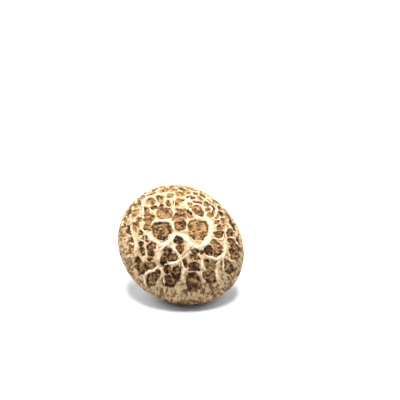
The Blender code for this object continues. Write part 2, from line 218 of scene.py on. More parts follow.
FINE_RIDGES = (
    (171.1, 219.4, 173.8, 214.8, 173.8, 208.3, 174.8, 202.8, 173.8, 196.3),
    (209.9, 219.4, 214.5, 216.6, 216.4, 212.0, 214.5, 206.5, 208.1, 201.8, 201.6, 198.1),
    (210.8, 234.2, 214.5, 237.9, 219.2, 238.8, 223.8, 237.0, 224.7, 232.4),
    (164.6, 264.7, 160.0, 264.7, 159.0, 258.3, 160.9, 250.9, 164.6, 246.2, 169.2, 244.4),
    (160.0, 266.6, 162.7, 273.1, 163.7, 279.5, 164.6, 286.0),
    (145.2, 234.2, 144.2, 241.6, 146.1, 249.0, 146.1, 258.3, 145.2, 262.9),
    (157.2, 245.3, 157.2, 254.6, 157.2, 263.8),
    (185.9, 238.8, 187.8, 245.3, 186.8, 253.6),
    (224.7, 221.3, 226.6, 226.8, 225.6, 232.4, 226.5, 240.0),
    (222.9, 256.4, 222.9, 263.8, 223.8, 271.2),
    (224.7, 258.3, 232.1, 261.0, 239.5, 263.8),
    (142.4, 221.3, 141.0, 228.0, 146.1, 234.2),
)

# Ridges: each set's half width at the foot in mm and its cream tone; then the half width on top, how
# the ends thin out, the share of the foot kept clear of scales, and how high small ridges stand
RIDGE_SETS = ((1.95, 1.0, BROAD_RIDGES), (1.25, 0.80, MIDDLE_RIDGES), (0.90, 0.62, FINE_RIDGES))
RIDGE_HALF, RIDGE_TAPER, RIDGE_CLEAR = 0.10, 0.50, 0.42
SMALL_RIDGE = 0.50

# Thin splits in the pale net, sunk and darkened with painted shade, given in the same way
SPLITS = (
    (180.5, 258.6, 184.5, 255.0, 189.0, 250.5, 193.0, 246.0),
    (157.8, 240.7, 161.8, 242.5, 167.9, 239.4),
)
SPLIT_SPAN, SPLIT_DEPTH = (0.045, 0.36), 0.30

# Gills: radius and height of lower edges, radii where blades start in their order round the stem,
# how deep roots and ends are sunk, half thicknesses, and how blades differ and wave
GILL_EDGE = ((8.0, -2.6), (12.0, -3.7), (18.0, -3.9), (24.5, -3.0))
GILL_STARTS, SHORT_START = (8.2, 18.5, 14.0, 18.5), 10.0
GILL_GROUPS, GILL_STATIONS = 48, 16
GILL_ROOT, GILL_SUNK = 0.9, 0.8
GILL_TOP_HALF, GILL_EDGE_HALF = 0.20, 0.11
BEARING_VARY, START_VARY, EDGE_VARY = 0.28, 0.9, 0.12
GILL_WAVE = 0.20

# Stem: STEM_R is share of the way down and radius, the cut end has moved sideways by the lean, and
# fibres and flakes stand out by so many mm
STEM_ROOT = 1.2
STEM_TOP = FLESH[-1][1] + STEM_ROOT
STEM_R = ((0.0, 9.4), (0.12, 9.1), (0.24, 8.0), (0.42, 6.5),
          (0.60, 5.9), (0.76, 6.1), (0.90, 6.9), (1.0, 7.3))
STEM_LEAN, LEAN_BEARING = 3.1, math.radians(106.0)
STEM_OVAL, STEM_FLUTE, FLUTES = 0.035, 0.28, 9
STEM_FIBRE, STEM_FLAKE, FIBRE_R, FLAKE_SQUEEZE = 0.11, 0.22, 7.0, 0.34
CUT_ROUND, CUT_HOLLOW = 0.5, 0.35
STEM_COLUMNS, STEM_RINGS, CUT_RINGS = 300, 170, 22

# Lights: name, place in metres, side in metres and power in watts
LIGHTS = (("key_light", (0.0, 0.15, 0.60), 0.36, 10.6), ("left_light", (-0.50, 0.20, 0.36), 0.46, 3.4),
          ("right_light", (0.50, 0.20, 0.36), 0.46, 2.3))
LIGHT_TARGET, LIGHT_COLOUR = (0.0, 0.0, 0.02), (1.0, 0.98, 0.96)


def smooth(low, high, x):
    """0 below low and 1 above high, eased between them."""
    t = np.clip((x - low) / (high - low), 0.0, 1.0)
    return t * t * (3.0 - 2.0 * t)


def rising(pair, share):
    """The pair's first value where the share is 0, and its two values added up where that is 1."""
    return pair[0] + pair[1] * share


def hashed(cells, layer):
    """An even random value from -1 to 1 for each whole-number cell, by mixing its three numbers
    with the seed. Each noise is a layer of its own."""
    n = (cells[..., 0] * 73856093) ^ (cells[..., 1] * 19349663) ^ (cells[..., 2] * 83492791)
    n = (n ^ ((SEED + layer) * 2654435761)) & 0xFFFFFFFF
    n = ((n ^ (n >> 16)) * 0x45D9F3B) & 0xFFFFFFFF
    n = ((n ^ (n >> 16)) * 0x45D9F3B) & 0xFFFFFFFF
    return ((n ^ (n >> 16)) & 0xFFFF) / 32767.5 - 1.0


def noise(points, cell, layer):
    """Lattice noise from -1 to 1: the values at a cell's eight corners, eased between them."""
    place = points / cell
    base = np.floor(place).astype(np.int64)
    part = place - base
    part = part * part * (3.0 - 2.0 * part)
    total = np.zeros(points.shape[:-1])
    for corner in np.ndindex(2, 2, 2):
        weight = np.prod(np.where(np.array(corner) == 1, part, 1.0 - part), -1)
        total += weight * hashed(base + np.array(corner), layer)
    return total


def fractal(points, cell, layer, octaves=3):
    """Noise at a cell size, with finer and fainter noise added at half the size each time."""
    return sum(noise(points, cell / 2 ** k, layer + k) / 2 ** k for k in range(octaves))


def cells(points, size, layer):
    """Distances, in cells, to the nearest and the second nearest of random points, one to a cell."""
    place = points / size
    base = np.floor(place).astype(np.int64)
    first = np.full(points.shape[:-1], 9.0)
    second = first.copy()
    for corner in np.ndindex(3, 3, 3):
        cell = base + np.array(corner) - 1
        spot = cell + 0.5 + 0.42 * np.stack([hashed(cell, layer + k) for k in range(3)], -1)
        gap = np.linalg.norm(place - spot, axis=-1)
        second = np.minimum(second, np.maximum(first, gap))
        first = np.minimum(first, gap)
    return first, second


def cap_section(steps=400):
    """Runs, radii and heights of the skin: a quarter ellipse to the widest level, then one to the lip."""
    turn = np.linspace(0.0, math.pi / 2, steps)
    r = np.concatenate([CAP_R * np.sin(turn), CAP_R - ROLL_R + ROLL_R * np.cos(turn[1:])])
    z = np.concatenate([CROWN_H * np.cos(turn), -ROLL_H * np.sin(turn[1:])])
    run = np.concatenate([[0.0], np.cumsum(np.hypot(np.diff(r), np.diff(z)))])
    return run, r, z


RUNS, RADII, HEIGHTS = cap_section()
WIDEST_RUN = float(np.interp(0.0, -HEIGHTS, RUNS))
LIP_RUN = float(RUNS[-1])


def outline(bearing):
    """How much wider than round the cap is at a bearing: an oval with a slight third lobe."""
    oval = OVAL_SHARE * np.cos(2 * (bearing - OVAL_BEARING))
    return oval + LOBE_SHARE * np.cos(3 * (bearing - LOBE_BEARING))


def turned(r, z, bearing, grow):
    """Points at a radius and height, pushed out by the outline where grow is 1."""
    wide = r * (1.0 + outline(bearing) * np.clip(grow, 0.0, 1.0) ** 2)
    return np.stack([wide * np.cos(bearing), wide * np.sin(bearing), z + 0.0 * wide], -1)


def flat_map(run, bearing):
    """The flat map's points for runs and bearings."""
    return np.stack([run * np.cos(bearing), run * np.sin(bearing)], -1)


def fibre_space(radius, bearing, length, squeeze=FIBRE_SQUEEZE):
    """Points of a tube, squeezed along its length so that noise on them is stretched along it."""
    return np.stack([radius * np.cos(bearing), radius * np.sin(bearing), squeeze * length], -1)


def on_cap(run, bearing, lift=0.0):
    """Points on the skin, lifted along the section's normal."""
    step = 0.2
    r0, r1 = (np.interp(run + d, RUNS, RADII) for d in (-step, step))
    z0, z1 = (np.interp(run + d, RUNS, HEIGHTS) for d in (-step, step))
    length = np.hypot(r1 - r0, z1 - z0)
    r = np.interp(run, RUNS, RADII) - lift * (z1 - z0) / length
    z = np.interp(run, RUNS, HEIGHTS) + lift * (r1 - r0) / length
    return turned(r, z, bearing, run / WIDEST_RUN)


def tilted(points):
    """Upright points turned about X by the tilt."""
    c, s = math.cos(TILT), math.sin(TILT)
    x, y, z = points[..., 0], points[..., 1], points[..., 2]
    return np.stack([x, y * c - z * s, y * s + z * c], -1)


def laid(points):
    """Upright points in mm put where the mushroom lies, in metres, with nothing below the surface."""
    placed = tilted(points) + CAP_CENTRE
    placed[..., 2] = np.maximum(placed[..., 2], 0.0)
    return placed * MM


def in_picture(flat):
    """Picture pixels of points of the skin's flat map, by the camera's perspective."""
    place = tilted(on_cap(np.hypot(flat[..., 0], flat[..., 1]), np.arctan2(flat[..., 1], flat[..., 0])))
    c, s = math.cos(ELEVATION), math.sin(ELEVATION)
    across = place[..., 0] - AIM_RIGHT
    up = place[..., 1] * s + place[..., 2] * c - AIM_UP
    away = DISTANCE + place[..., 1] * c - place[..., 2] * s
    focal = DISTANCE * PIXELS_PER_MM
    return np.stack([PICTURE / 2 + focal * across / away, PICTURE / 2 - focal * up / away], -1)


def facing(run, bearing):
    """How squarely the smooth skin faces the camera, from 1 down to 0 at the outline and below 0 where
    it is hidden: the cross product of its two tangents along the way to the camera."""
    step = 0.01
    along = tilted(on_cap(run + step, bearing)) - tilted(on_cap(run - step, bearing))
    around = tilted(on_cap(run, bearing + step)) - tilted(on_cap(run, bearing - step))
    to_camera = np.array([0.0, -math.cos(ELEVATION), math.sin(ELEVATION)])
    normal = np.cross(along, around)
    return normal @ to_camera / np.linalg.norm(normal, axis=-1)


def on_map(pixels):
    """The flat map's points that are seen at picture pixels: the nearest of a coarse lattice, then of
    ever smaller lattices round it."""
    run, bearing = np.meshgrid(SEARCH_RUNS, SEARCH_BEARINGS)
    lattice = flat_map(run, bearing)[facing(run, bearing) > 0.0]
    shown = in_picture(lattice)
    gap = np.linalg.norm(shown[None] - pixels[:, None], axis=-1)
    best = lattice[gap.argmin(axis=1)]
    steps = np.linspace(-1.0, 1.0, 9)
    fine = np.stack(np.meshgrid(steps, steps), -1).reshape(-1, 2)
    for width in SEARCH_WIDTHS:
        tried = best[:, None] + fine[None] * width
        gap = np.linalg.norm(in_picture(tried) - pixels[:, None], axis=-1)
        best = tried[np.arange(len(best)), gap.argmin(axis=1)]
    return best


def scale_frames():
    """Each scale's middle on the map, the inverse of its two half sides there, and its darkness. A
    half side is found from the picture points a little way along it on both sides of the middle."""
    rows = np.array(SCALES)
    middle, halves, turn, dark = rows[:, :2], rows[:, 2:4], np.radians(rows[:, 4]), rows[:, 5]
    near = 0.6
    sides = []
    for k, angle in enumerate((turn, turn + math.pi / 2)):
        arm = np.stack([np.cos(angle), -np.sin(angle)], -1)
        arm = arm * (halves[:, k] * PIXELS_PER_MM * near)[:, None]
        side = (on_map(middle + arm) - on_map(middle - arm)) / (2 * near)
        length = np.linalg.norm(side, axis=-1, keepdims=True)
        sides.append(side * np.minimum(1.0, REACH_MOST / np.maximum(length, 0.05)))
    return on_map(middle), np.linalg.inv(np.stack(sides, -1)), dark


def hidden_scales(middles):
    """Scales for the back of the cap, which the picture hides or shows at a flat angle: ones on a
    spiral of even spacing, kept where no other scale is near, and varied by waves of their number."""
    golden = math.pi * (3.0 - math.sqrt(5.0))
    count = np.arange(1, 200)
    run, bearing = BACK_SPACING * np.sqrt(count), golden * count
    keep = (run < BACK_REACH) & (facing(run, bearing) < BACK_FACING)
    flat = flat_map(run, bearing)[keep]
    flat = flat[np.linalg.norm(flat[:, None] - middles[None], axis=-1).min(axis=1) > BACK_CLEAR]
    order = np.arange(len(flat))
    c, s = np.cos(order), np.sin(order)
    half_long = rising(BACK_LONG, np.sin(2.3 * order))
    half_short = rising(BACK_SHORT, np.cos(1.7 * order))
    along = np.stack([c / half_long, s / half_long], -1)
    across = np.stack([-s / half_short, c / half_short], -1)
    return flat, np.stack([along, across], axis=1), rising(BACK_DARK, s)


def patch_fields(flat, upright):
    """For each point: how far inside a scale it is in mm (negative on the net), the scale's
    darkness and how large it is (0 to 1), how far the point lies towards the rim from the scale's
    middle (-1 to 1), the open width of the net there, and half the way to the next scale's border.
    A scale is a rounded box whose sides are the powers of its two coordinates added up to 1."""
    seen = scale_frames()
    hidden = hidden_scales(seen[0])
    middles, inverses, darks = (np.concatenate(both) for both in zip(seen, hidden))
    sway = np.stack([fractal(upright, WARP_CELL, layer) for layer in (0, 9)], -1)
    warped = flat + WARP * sway
    first, second = np.full((2, len(flat)), FAR)
    dark, size, rimward = np.zeros((3, len(flat)))
    outward = flat / np.maximum(np.linalg.norm(flat, axis=-1, keepdims=True), 0.01)
    halves = 1.0 / np.sqrt(np.abs(np.linalg.det(inverses)))
    for middle, inverse, tone, half in zip(middles, inverses, darks, halves):
        arm = warped - middle
        away = np.linalg.norm(arm, axis=-1)
        reach = (np.abs(arm @ inverse.T) ** CORNER_POWER).sum(-1) ** (1.0 / CORNER_POWER)
        gap = away * (1.0 - 1.0 / np.maximum(reach, 0.05))
        gap = gap - GROW * np.clip(half / GROW_SIZE, GROW_LEAST, 1.0)
        nearer = gap < first
        second = np.where(nearer, first, np.minimum(second, gap))
        first = np.where(nearer, gap, first)
        dark = np.where(nearer, tone, dark)
        size = np.where(nearer, half, size)
        rimward = np.where(nearer, (arm * outward).sum(-1) / np.maximum(away, 0.3), rimward)
    half_gap = (second - first) / 2
    net = NET_HALF + NET_VARY * noise(upright, NET_CELL, 15) + NET_PALER * (0.60 - dark)
    large = smooth(*LARGE_SPAN, size)
    inside = np.minimum(-first, half_gap - net)
    ragged = RAGGED * rising(FINER_BY_SIZE, large)
    inside = inside + ragged * fractal(upright, RAGGED_CELL, 20, 2)
    width = np.maximum(first, 0.0) + np.maximum(second, 0.0)
    return inside, dark, large, rimward, width, half_gap


def curve_through(points, steps=5):
    """A smooth curve through points by the rule of Catmull and Rom, with its ends doubled."""
    padded = np.concatenate([points[:1], points, points[-1:]])
    t = np.linspace(0.0, 1.0, steps, endpoint=False)[:, None]
    spans = []
    for a, b, c, d in zip(padded[:-3], padded[1:-2], padded[2:-1], padded[3:]):
        cubic = (3 * b - a - 3 * c + d) * t ** 3 + (2 * a - 5 * b + 4 * c - d) * t ** 2
        spans.append(0.5 * (2 * b + (c - a) * t + cubic))
    return np.concatenate(spans + [points[-1:]])


def line_gap(flat, lines, taper):
    """Each point's distance on the map to the nearest of some smooth lines, given in the picture. A
    line's ends count as further off by the taper, so that it thins out."""
    gap = np.full(len(flat), FAR)
    for row in lines:
        points = curve_through(on_map(np.array(row).reshape(-1, 2)))
        ends = taper * (1.0 - np.sin(math.pi * np.linspace(0.0, 1.0, len(points))) ** 0.5)
        for start, end, more in zip(points[:-1], points[1:], ends):
            along = end - start
            share = np.clip((flat - start) @ along / max(along @ along, 1e-6), 0.0, 1.0)
            gap = np.minimum(gap, np.linalg.norm(flat - start - share[:, None] * along, axis=-1) + more)
    return gap


def ridge_fields(flat, upright, sway):
    """How high the ridges stand and how cream they are (0 to 1), with a painted highlight along their
    crests, and the way outside them in mm.
    """
    uneven = 0.30 * noise(upright, 0.8, 45) + 0.34 * noise(upright, 3.0, 47)
    outside = np.full(len(flat), FAR)
    ridge, cream = np.zeros((2, len(flat)))
    for foot, tone, lines in RIDGE_SETS:
        gap = line_gap(flat + 0.48 * sway, lines, RIDGE_TAPER)
        outside = np.minimum(outside, gap - RIDGE_CLEAR * foot)
        side = 1.0 - smooth(RIDGE_HALF, foot, gap + foot * uneven)
        # A painted highlight along each ridge's crest, added to the cream of its sides.
        crest_highlight = 1.0 - smooth(0.0, 0.40 * foot, gap + 0.5 * foot * uneven)
        ridge = np.maximum(ridge, side)
        cream = np.maximum(cream, tone * (0.70 * side + 0.45 * crest_highlight))
    return ridge, cream, outside


def scale_fields(upright, scale, inside, half_gap, dark, large, lower):
    """Inside scales: the lift, how brown they are, and painted shade in their creases, pits, cracks and
    slits. Lumps stand between pits of painted shade, and the side towards the rim is the deepest and
    has the widest and darkest painted shade in its creases."""
    knob = fractal(upright, KNOB_CELL, 55, 3)
    shaken = upright + 0.45 * fractal(upright, 1.2, 58)[:, None]
    near, next_near = cells(shaken, LUMP_CELL, 60)
    lump = smooth(0.0, 0.50, next_near - near) - 0.6
    crack = (1.0 - smooth(*CRACK_SPAN, half_gap)) * scale
    middle_share = smooth(*MIDDLE_SPAN, inside)
    sunk = PIT + (DOME - PIT) * middle_share + RIM_PIT * lower * (1.0 - middle_share)
    sunk = sunk * rising(SUNK_BY_DARK, dark)
    lumpy = smooth(-0.6, 0.5, noise(upright, 3.0, 59))
    sunk = sunk + LUMP * lumpy * large * lump + KNOB * rising(KNOBS_BY_SIZE, large) * knob + CRACK * crack
    # The knob and lump terms make the brown paler on raised tops: a painted highlight over the scales' own
    # brown.
    brown = rising(BROWN_BY_DARK, dark) - 0.36 * knob - 0.24 * large * lump
    brown = brown + rising(BLOTCH_BY_SIZE, large) * fractal(upright, 2.2, 57, 2)
    # Painted shade: a dark crease just inside a scale's border, widest on dark scales' side towards the
    # rim, then dark pits between lumps, cracks where scales meet and slits in the darkest scales.
    crease_shade_width = rising(CREASE_SHADE_WIDTH, dark * lower) * rising(FINER_BY_SIZE, large)
    crease_shade = smooth(-0.08, 0.2, inside) * (1.0 - smooth(0.35, 1.0, inside / crease_shade_width))
    crease_shade = crease_shade * rising(CREASE_SHADE_BY_SIDE, lower) * smooth(-0.35, 0.35, noise(upright, 1.6, 52))
    pits = (1.0 - smooth(0.0, 0.20, next_near - near)) * rising(PIT_SHADE_BY_DARK, dark) * large
    pits = pits * smooth(-0.15, 0.55, noise(upright, 2.3, 53))
    pits = pits + smooth(0.88, 1.25, 0.90 * dark - 1.2 * knob)
    slit_shade = SLIT_SHADE * smooth(*SLIT_DARK, dark)
    return sunk, brown, crease_shade + (pits + 0.8 * crack + slit_shade) * smooth(*FOLD_SPAN, inside)


def margin_fields(run, bearing, upright, back):
    """The margin's lift, and its dark and its pale flecks (0 to 1)."""
    fibre = fractal(fibre_space(CAP_R, bearing, run), 0.95, 70)
    fleck_space = fibre_space(CAP_R, bearing, run, FLECK_SQUEEZE)
    dense = (0.16 + 0.16 * back) * smooth(31.5, 36.5, run + 2.0 * back)
    blotch = 0.16 * noise(upright, 3.0, 84) + dense
    fleck = smooth(-0.20, 0.75, fractal(fleck_space, 0.95, 85, 4) + blotch)
    pale = smooth(0.0, 0.60, fractal(fleck_space, 0.80, 88) - blotch)
    lift = FIBRE_LIFT * fibre + LUMP_LIFT * fractal(upright, 2.2, 80)
    return lift + PALE_LIFT * pale + FLECK_LIFT * fleck, fleck, pale


def skin_relief(run, bearing):
    """Lift of the skin and its colour masks. Pale ridges and a finer net stand out, scales are sunk
    between them, and the margin has flecks and fine fibres along the run. The masks also carry painted
    shade in the scales' folds and in the net's splits, and a painted highlight along the ridges' crests."""
    upright, flat = on_cap(run, bearing), flat_map(run, bearing)
    inside, dark, large, rimward, width, half_gap = patch_fields(flat, upright)
    sway = np.stack([fractal(upright, 2.0, layer, 4) for layer in (30, 33)], -1)
    ridge, cream, outside = ridge_fields(flat, upright, sway)
    inside = np.minimum(inside, outside)
    scale = smooth(*WALL_SPAN, inside)
    back = smooth(*BACK_SPAN, np.sin(bearing))
    rimmed = run - BACK_FURTHER * back
    fade = 1.0 - smooth(*NET_FADE, rimmed + 1.5 * noise(upright, 4.0, 38))
    margin = smooth(*MARGIN, rimmed + 1.2 * fractal(upright, 5.0, 40, 2))
    small = (1.0 - smooth(*MEETING_SPAN, half_gap)) * smooth(*THIN_NET, width)
    small = SMALL_RIDGE * (small * (1.0 - smooth(*WIDE_NET, width)) * (1.0 - scale))
    ridge = np.maximum(ridge, small) * (0.80 + 0.25 * noise(upright, 2.4, 48))
    cream = np.maximum(cream, small) * (0.88 + 0.30 * noise(upright, 1.7, 49))
    lower = smooth(0.0, 0.9, rimward)
    sunk, brown, fold_shade = scale_fields(upright, scale, inside, half_gap, dark, large, lower)
    net = SHOULDER + (CREST - SHOULDER) * ridge + 0.10 * fractal(upright, 1.3, 50)
    # Splits in the net: sunk, and darkened with painted shade in the material.
    split = 1.0 - smooth(*SPLIT_SPAN, line_gap(flat + 0.20 * sway, SPLITS, 0.1))
    margin_lift, fleck, pale = margin_fields(run, bearing, upright, back)
    lift = fade * (net * (1.0 - scale) + sunk * scale) - SPLIT_DEPTH * split + margin * margin_lift
    fleck = fleck * (0.30 + 0.70 * smooth(21.0, 30.0, run)) * (1.0 - 0.7 * ridge)
    masks = {
        "scale": scale * fade,
        "brown": np.clip(brown, 0.0, 1.0),
        # painted shade in the scales' creases, pits, cracks and slits
        "fold_shade": np.clip(fold_shade * fade, 0.0, 1.0),
        # cream of the net, with a painted highlight along the ridges' crests
        "ridge": np.clip(cream * fade, 0.0, 1.0),
        "open": smooth(*OPEN_NET, width) * (1.0 - scale),
        # painted shade in the net's splits
        "split": split,
        "margin": margin,
        "fleck": fleck * (1.0 - scale),
        "pale": pale * margin,
    }
    return lift, masks


def mesh_piece(name, points, faces, masks, material):
    """A mesh object at the origin with its place in its points, shaded smooth, riding on the body."""
    mesh = bpy.data.meshes.new(name)
    mesh.from_pydata(points.reshape(-1, 3).tolist(), [], faces)
    for mask, values in masks.items():
        kind, field = ("FLOAT_VECTOR", "vector") if values.ndim == 2 else ("FLOAT", "value")
        layer = mesh.attributes.new(mask, kind, "POINT")
        layer.data.foreach_set(field, values.astype(np.float32).ravel())
    mesh.materials.append(material)
    mesh.shade_smooth()
    mesh.update()
    piece = bpy.data.objects.new(name, mesh)
    bpy.context.scene.collection.objects.link(piece)
    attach(piece, "root")
    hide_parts(NODE)
    return piece


def loft_faces(rings, columns):
    """Quads from ring to ring and a fan at each end, facing out where the rings run down and round.
    The first tip's point comes after the grid's, and the last tip's after that."""
    i, j = np.meshgrid(np.arange(rings - 1), np.arange(columns), indexing="ij")
    k = (j + 1) % columns
    here, below = i * columns, (i + 1) * columns
    quads = np.stack([here + j, below + j, below + k, here + k], -1)
    j = np.arange(columns)
    k = (j + 1) % columns
    tip, end, last = rings * columns, rings * columns + 1, (rings - 1) * columns
    first_fan = np.stack([np.full(columns, tip), j, k], -1)
    last_fan = np.stack([last + j, np.full(columns, end), last + k], -1)
    return quads.reshape(-1, 4).tolist() + first_fan.tolist() + last_fan.tolist()


def underside_section():
    """Radii and heights from the lip inwards: a quarter round inside the lip, then the flesh."""
    turn = np.linspace(0.0, math.pi / 2, LIP_RINGS + 1)[1:]
    lip_r = CAP_R - ROLL_R - LIP_R * np.sin(turn)
    lip_z = -ROLL_H + LIP_H * (1 - np.cos(turn))
    corner_r, corner_z = zip(*((lip_r[-1], lip_z[-1]),) + FLESH)
    length = np.concatenate([[0.0], np.cumsum(np.hypot(np.diff(corner_r), np.diff(corner_z)))])
    share = np.linspace(0.0, length[-1], FLESH_RINGS + 1)[1:]
    r = np.concatenate([lip_r, np.interp(share, length, corner_r)])
    z = np.concatenate([lip_z, np.interp(share, length, corner_z)])
    return r, z


def make_cap(material):
    """The cap: rings of points from the crown over the skin, round the lip and in under the flesh."""
    bearing = np.linspace(0.0, math.tau, CAP_COLUMNS, endpoint=False)
    runs = np.linspace(0.0, LIP_RUN, SKIN_RINGS + 1)[1:]
    run, turn = (grid.ravel() for grid in np.meshgrid(runs, bearing, indexing="ij"))
    lift, masks = skin_relief(run, turn)
    skin = on_cap(run, turn, lift * (1.0 - smooth(*EASE_SPAN, run - LIP_RUN)))
    r, z = underside_section()
    low_r, low_turn = (grid.ravel() for grid in np.meshgrid(r, bearing, indexing="ij"))
    low_z = np.repeat(z, CAP_COLUMNS)
    wobble = 0.10 * fractal(turned(low_r, low_z, low_turn, low_r / INNER_R), 1.4, 90)
    under = turned(low_r, low_z + wobble, low_turn, low_r / INNER_R)
    crown = CROWN_H + float(np.mean(lift[:CAP_COLUMNS]))
    tips = np.array([[0.0, 0.0, crown], [0.0, 0.0, FLESH[-1][1]]])
    points = np.concatenate([skin, under, tips])
    values = {}
    for name, mask in masks.items():
        values[name] = np.concatenate([mask, np.zeros(len(under)), [mask[:CAP_COLUMNS].mean(), 0.0]])
    values["margin"][len(skin):-2] = 1.0
    inner = smooth(*INNER_SPAN, run - LIP_RUN)
    values["inner"] = np.concatenate([inner, np.ones(len(under)), [0.0, 1.0]])
    # The lip mask darkens the rim towards and under its rolled edge: partly its own brown, partly painted
    # shade.
    lip = smooth(*LIP_SPAN, run - LIP_RUN)
    values["lip"] = np.concatenate([lip, smooth(22.8, 25.0, low_r), [0.0, 0.0]])
    values["fibre_space"] = np.concatenate([
        fibre_space(CAP_R, turn, run), fibre_space(CAP_R, low_turn, low_r), np.zeros((2, 3))])
    faces = loft_faces(SKIN_RINGS + len(r), CAP_COLUMNS)
    return mesh_piece("cap", laid(points), faces, values, material)


def flesh_height(r):
    """Height of the flesh that the gills hang from, at a radius."""
    radii, heights = zip(*sorted(FLESH))
    return np.interp(r, radii, heights)


def make_gills(material):
    """Radial blades, worked out all at once: stations along each, four corners at a station. A
    short blade's lower edge rises to the flesh at its inner end, and every blade waves a little."""
    count = GILL_GROUPS * len(GILL_STARTS)
    spread = hashed(np.stack([np.arange(count)] * 3, -1), 5)
    bearing = (np.arange(count) + BEARING_VARY * spread) * math.tau / count
    start = np.tile(GILL_STARTS, GILL_GROUPS) + START_VARY * spread
    wide = 1.0 + outline(bearing)
    share = np.linspace(0.0, 1.0, GILL_STATIONS)
    r = start[:, None] + (INNER_R * wide + GILL_SUNK - start)[:, None] * share
    edge_r, edge_z = zip(*GILL_EDGE)
    ceiling = flesh_height(np.minimum(r / wide[:, None], FLESH[1][0]))
    taper = np.where((start > SHORT_START)[:, None], smooth(-0.05, 0.42, share)[None], 1.0)
    low = ceiling + (np.interp(r, edge_r, edge_z) + EDGE_VARY * spread[:, None] - ceiling) * taper
    wave_space = np.stack([0.5 * r, 9.0 * bearing[:, None] + 0.0 * r, 0.0 * r], -1)
    wave = GILL_WAVE * noise(wave_space, 1.0, 6)
    out = np.stack([np.cos(bearing), np.sin(bearing)], -1)[:, None]
    side = np.stack([-np.sin(bearing), np.cos(bearing)], -1)[:, None]
    rows = []
    root = ceiling + GILL_ROOT
    corners = ((GILL_TOP_HALF, root, 0.0), (-GILL_TOP_HALF, root, 0.0),
               (-GILL_EDGE_HALF, low, 1.0), (GILL_EDGE_HALF, low, 1.0))
    for half, height, sway in corners:
        flat = r[..., None] * out + (half + sway * wave)[..., None] * side
        rows.append(np.concatenate([flat, height[..., None]], -1))
    points = np.stack(rows, axis=2)
    s, c = np.meshgrid(np.arange(GILL_STATIONS - 1), np.arange(4), indexing="ij")
    n = (c + 1) % 4
    quads = np.stack([s * 4 + c, (s + 1) * 4 + c, (s + 1) * 4 + n, s * 4 + n], -1).reshape(-1, 4)
    last = (GILL_STATIONS - 1) * 4
    quads = np.concatenate([quads[:, ::-1], [[3, 2, 1, 0]], [[last, last + 1, last + 2, last + 3]]])
    faces = (quads[None] + (np.arange(count) * GILL_STATIONS * 4)[:, None, None]).reshape(-1, 4).tolist()
    edge = np.zeros(points.shape[:3])
    edge[..., 2:] = 1.0
    shade = np.repeat(0.5 + 0.5 * spread[:, None], GILL_STATIONS, 1)[..., None] + 0.0 * edge
    masks = {"edge": edge.ravel(), "shade": shade.ravel()}
    return mesh_piece("gills", laid(points), faces, masks, material)


def stem_foot():
    """Height of the cut end's edge, where it meets the surface that the laid mushroom stands on."""
    end_r = STEM_R[-1][1] * (1.0 - STEM_OVAL) - CUT_ROUND
    reach = STEM_LEAN * math.sin(LEAN_BEARING) - end_r
    return (-CAP_CENTRE[2] - reach * math.sin(TILT)) / math.cos(TILT)


def stem_points(share, angle, trim, lift, foot):
    """Points at a share of the way down and an angle round the stem: an oval with low flutes, whose
    middle leans by the square of the share."""
    shares, radii = zip(*STEM_R)
    flute = STEM_FLUTE * np.sin(FLUTES * angle + 1.3 + 2.0 * share) * np.sin(math.pi * share)
    r = np.interp(share, shares, radii) * (1 + STEM_OVAL * np.cos(2 * angle)) + flute
    r = r - trim + lift
    lean = STEM_LEAN * share ** 2
    x = r * np.cos(angle) + lean * math.cos(LEAN_BEARING)
    y = r * np.sin(angle) + lean * math.sin(LEAN_BEARING)
    return np.stack([x, y, STEM_TOP + (foot - STEM_TOP) * share], -1)


def make_stem(material):
    """The stem: rings from its root to the cut, then smaller rings across the cut end. Its skin has
    fibres along it and torn flakes that stand out at their lower ends."""
    foot = stem_foot()
    angle = np.linspace(0.0, math.tau, STEM_COLUMNS, endpoint=False)
    shares = np.linspace(0.0, 1.0, STEM_RINGS)
    share, turn = (grid.ravel() for grid in np.meshgrid(shares, angle, indexing="ij"))
    height = (STEM_TOP - foot) * share
    around = fibre_space(FIBRE_R, turn, height)
    fibre = fractal(around, 0.8, 100)
    flake = fractal(fibre_space(FIBRE_R, turn, height, FLAKE_SQUEEZE), 1.5, 110)
    flake = smooth(0.05, 0.45, flake) * smooth(0.24, 0.5, share)
    ease = smooth(0.0, 0.1, share) * (1.0 - smooth(0.975, 1.0, share))
    trim = CUT_ROUND * smooth(0.965, 1.0, share)
    lift = ease * (STEM_FIBRE * fibre + STEM_FLAKE * flake - 0.05)
    skin = stem_points(share, turn, trim, lift, foot)
    cut_share = np.linspace(1.0, 0.0, CUT_RINGS + 1)[1:-1]
    ring, cut_turn = (grid.ravel() for grid in np.meshgrid(cut_share, angle, indexing="ij"))
    rim = stem_points(np.ones(len(cut_turn)), cut_turn, CUT_ROUND, 0.0, foot)
    middle = np.array([*flat_map(STEM_LEAN, LEAN_BEARING), foot])
    cut = middle + (rim - middle) * ring[:, None]
    rough = 0.05 * fractal(cut, 0.9, 120) * (1.0 - smooth(0.9, 1.0, ring))
    cut[:, 2] += CUT_HOLLOW * (1.0 - ring ** 2) + rough
    tips = np.array([[0.0, 0.0, STEM_TOP], middle + (0.0, 0.0, CUT_HOLLOW)])
    points = np.concatenate([skin, cut, tips])
    masks = {
        "share": np.concatenate([share, np.ones(len(cut)), [0.0, 1.0]]),
        "flake": np.concatenate([flake * ease, np.zeros(len(cut) + 2)]),
        "cut": np.concatenate([smooth(0.985, 1.0, share), np.ones(len(cut)), [0.0, 1.0]]),
        "fibre_space": np.concatenate([around, cut * 0.8, np.zeros((2, 3))]),
    }
    faces = loft_faces(STEM_RINGS + len(cut_share), STEM_COLUMNS)
    return mesh_piece("stem", laid(points), faces, masks, material)


